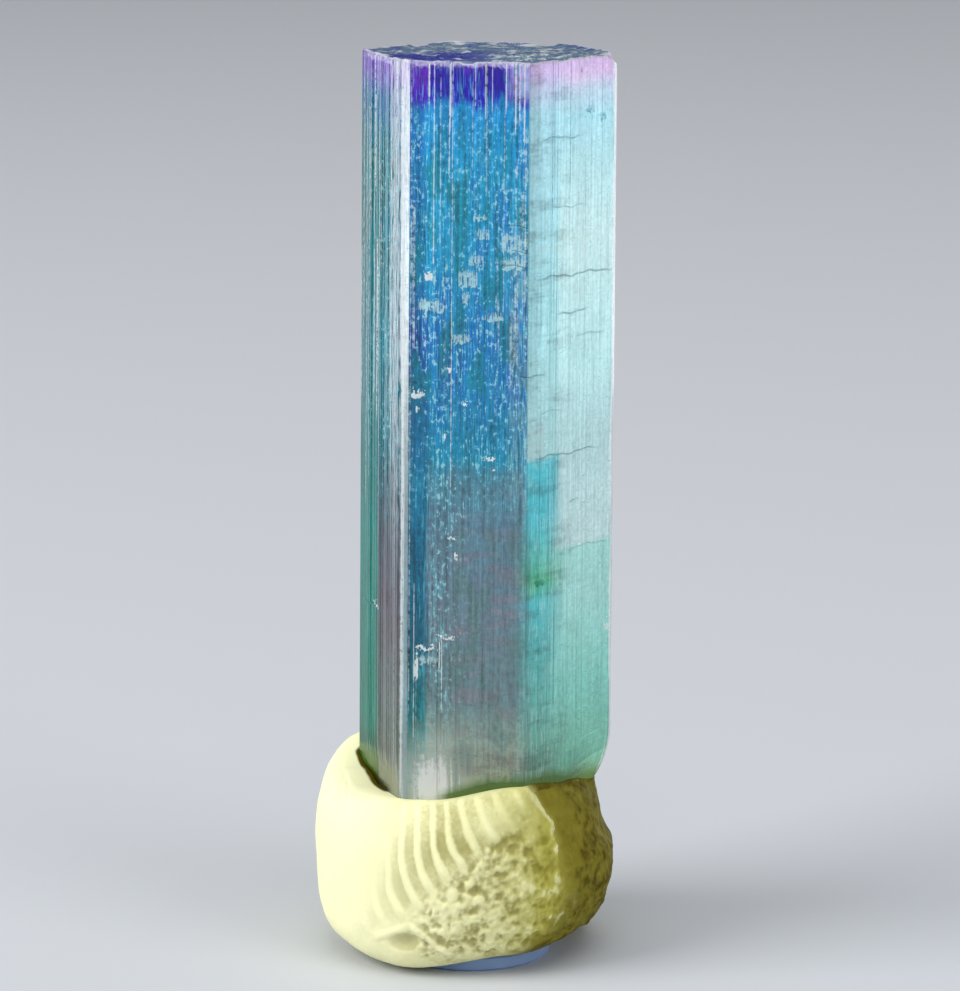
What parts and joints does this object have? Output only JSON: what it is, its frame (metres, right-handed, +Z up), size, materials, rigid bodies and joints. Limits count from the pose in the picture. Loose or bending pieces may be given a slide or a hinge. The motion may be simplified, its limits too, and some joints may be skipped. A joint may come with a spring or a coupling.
{
  "type": "tourmaline crystal specimen",
  "caption": "Upright bicoloured tourmaline crystal, a striated six-sided prism, held in a lump of display putty on a thin clear disc.",
  "frame": {"origin": "centre of the base disc's underside, on the surface that it stands on", "axes": "+Z up along the crystal, -Y towards the viewer, +X to the viewer's right"},
  "size_m": [0.0098, 0.0099, 0.0298],
  "materials": {
    "crystal": "see-through teal to pale aqua, violet at the top, striated along its length",
    "putty": "satin cream-yellow putty with finger marks",
    "disc": "frosted clear plastic"
  },
  "bodies": {
    "root": {"crystal": "crystal", "putty": "putty", "base_disc": "disc"}
  },
  "joints": []
}
